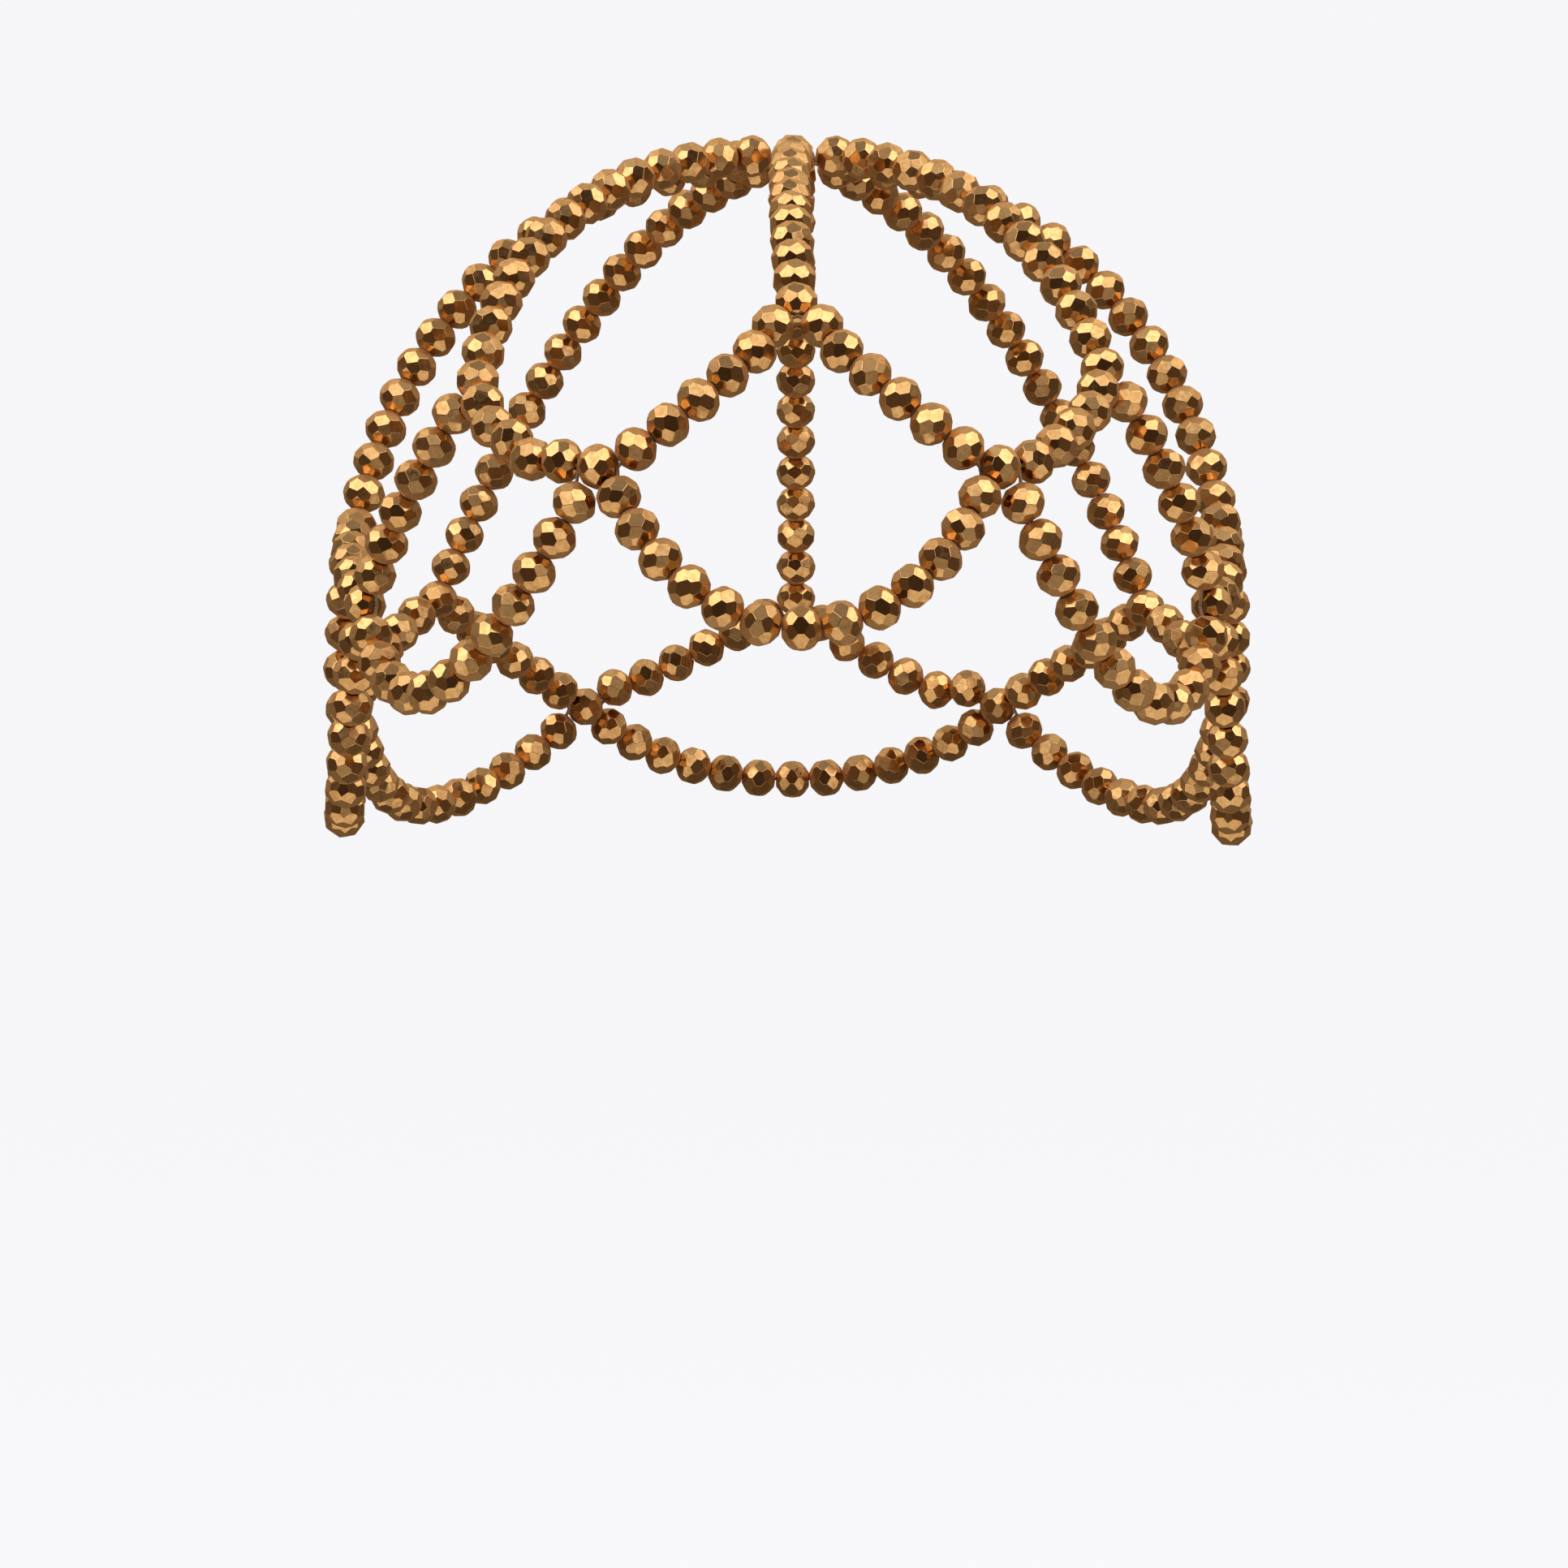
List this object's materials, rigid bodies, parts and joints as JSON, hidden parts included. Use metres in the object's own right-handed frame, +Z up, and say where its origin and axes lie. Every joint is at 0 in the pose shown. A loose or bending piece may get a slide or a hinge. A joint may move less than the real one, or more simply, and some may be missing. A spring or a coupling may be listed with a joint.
{
  "type": "beaded headpiece",
  "caption": "Head net of gold-coated faceted glass beads on thread: strings run from a crown bead to forks, branches meet at crossing beads, and swags hang below them",
  "frame": {"origin": "the top of the worn form, where the underside of the crown bead sits on it", "axes": "+Z up, the front faces -Y, +X to the wearer's left"},
  "size_m": [0.1779, 0.2119, 0.1398],
  "materials": {
    "gold_coated_glass": "faceted glass with a polished, slightly mottled gold metallic coating"
  },
  "bodies": {
    "root": {"branch_back_left_to_left_3": "gold_coated_glass", "branch_back_left_to_left_4": "gold_coated_glass", "branch_back_right_to_right_3": "gold_coated_glass", "branch_back_right_to_right_4": "gold_coated_glass", "branch_back_to_left_4": "gold_coated_glass", "branch_back_to_right_4": "gold_coated_glass", "branch_front_left_to_left_1": "gold_coated_glass", "branch_front_left_to_left_2": "gold_coated_glass", "branch_front_right_to_right_1": "gold_coated_glass", "branch_front_right_to_right_2": "gold_coated_glass", "branch_front_to_left_1": "gold_coated_glass", "branch_front_to_right_1": "gold_coated_glass", "branch_left_to_left_2": "gold_coated_glass", "branch_left_to_left_3": "gold_coated_glass", "branch_right_to_right_2": "gold_coated_glass", "branch_right_to_right_3": "gold_coated_glass", "crossing_left_1": "gold_coated_glass", "crossing_left_2": "gold_coated_glass", "crossing_left_3": "gold_coated_glass", "crossing_left_4": "gold_coated_glass", "crossing_right_1": "gold_coated_glass", "crossing_right_2": "gold_coated_glass", "crossing_right_3": "gold_coated_glass", "crossing_right_4": "gold_coated_glass", "crown_bead": "gold_coated_glass", "radial_back": "gold_coated_glass", "radial_back_left": "gold_coated_glass", "radial_back_right": "gold_coated_glass", "radial_front": "gold_coated_glass", "radial_front_left": "gold_coated_glass", "radial_front_right": "gold_coated_glass", "radial_left": "gold_coated_glass", "radial_right": "gold_coated_glass", "swag_back": "gold_coated_glass", "swag_front": "gold_coated_glass", "swag_left_1": "gold_coated_glass", "swag_left_2": "gold_coated_glass", "swag_left_3": "gold_coated_glass", "swag_right_1": "gold_coated_glass", "swag_right_2": "gold_coated_glass", "swag_right_3": "gold_coated_glass"}
  },
  "joints": []
}
